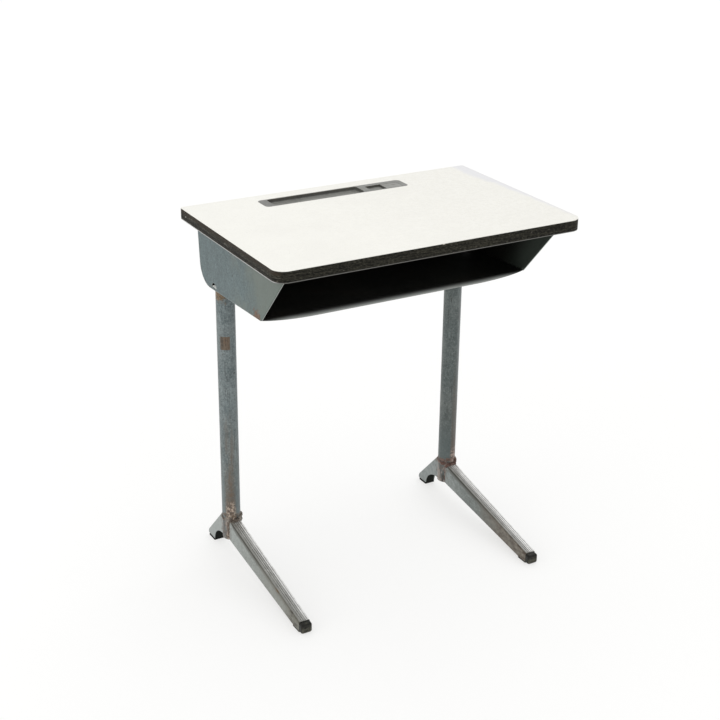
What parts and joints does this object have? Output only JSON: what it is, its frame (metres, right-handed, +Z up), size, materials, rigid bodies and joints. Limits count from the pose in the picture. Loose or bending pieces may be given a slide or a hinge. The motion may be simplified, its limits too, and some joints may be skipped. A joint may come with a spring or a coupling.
{
  "type": "school desk",
  "caption": "Single pupil's desk with a pen tray and a sliding inkwell cover in a laminated top, an open sheet-steel book box, and tube columns on splayed steel feet with rubber toes",
  "frame": {"origin": "on the floor, in the middle of the box that the desk fills", "axes": "+Z up, square to the writing surface; +Y from the pupil towards the back of the desk; +X to the pupil's right, along the desk's length"},
  "size_m": [0.65, 0.447, 0.75],
  "materials": {
    "laminate_white": "satin off-white laminate",
    "edge_dark": "dark brown lipping, scuffed",
    "core_wood": "raw board",
    "backing_sheet": "pale backing sheet",
    "tray_grey": "moulded grey plastic",
    "cover_grey": "worn lighter grey plastic",
    "painted_steel": "blue-grey enamel with rust spots",
    "column_paint": "mottled blue-grey enamel, scratched",
    "foot_paint": "light blue-grey enamel, brown at the toes",
    "tread_aluminium": "ribbed, dull",
    "rubber_black": "moulded black rubber",
    "weld_rust": "rusty weld bead",
    "steel_screw": "zinc plated"
  },
  "bodies": {
    "desk": {"top_core": "core_wood", "top_laminate": "laminate_white", "backing_laminate": "backing_sheet", "edge_band": "edge_dark", "pen_tray": "tray_grey", "box_wrap": "painted_steel", "box_side_left": "painted_steel", "box_side_right": "painted_steel", "box_fixing_screws": "steel_screw", "column_left": "column_paint", "column_right": "column_paint", "column_plate_left": "painted_steel", "column_plate_right": "painted_steel", "column_plate_screws": "steel_screw", "foot_front_arm_left": "foot_paint", "foot_front_arm_right": "foot_paint", "foot_rear_arm_left": "foot_paint", "foot_rear_arm_right": "foot_paint", "tread_strip_left": "tread_aluminium", "tread_strip_right": "tread_aluminium", "toe_cap_left": "rubber_black", "toe_cap_right": "rubber_black", "rear_pad_left": "rubber_black", "rear_pad_right": "rubber_black", "foot_weld_left": "weld_rust", "foot_weld_right": "weld_rust"},
    "cover": {"inkwell_cover": "cover_grey"}
  },
  "joints": [
    {"name": "cover_slide", "type": "slide", "parent": "desk", "child": "cover", "axis": [-1, 0, 0], "range_m": [0, 0.035]}
  ]
}
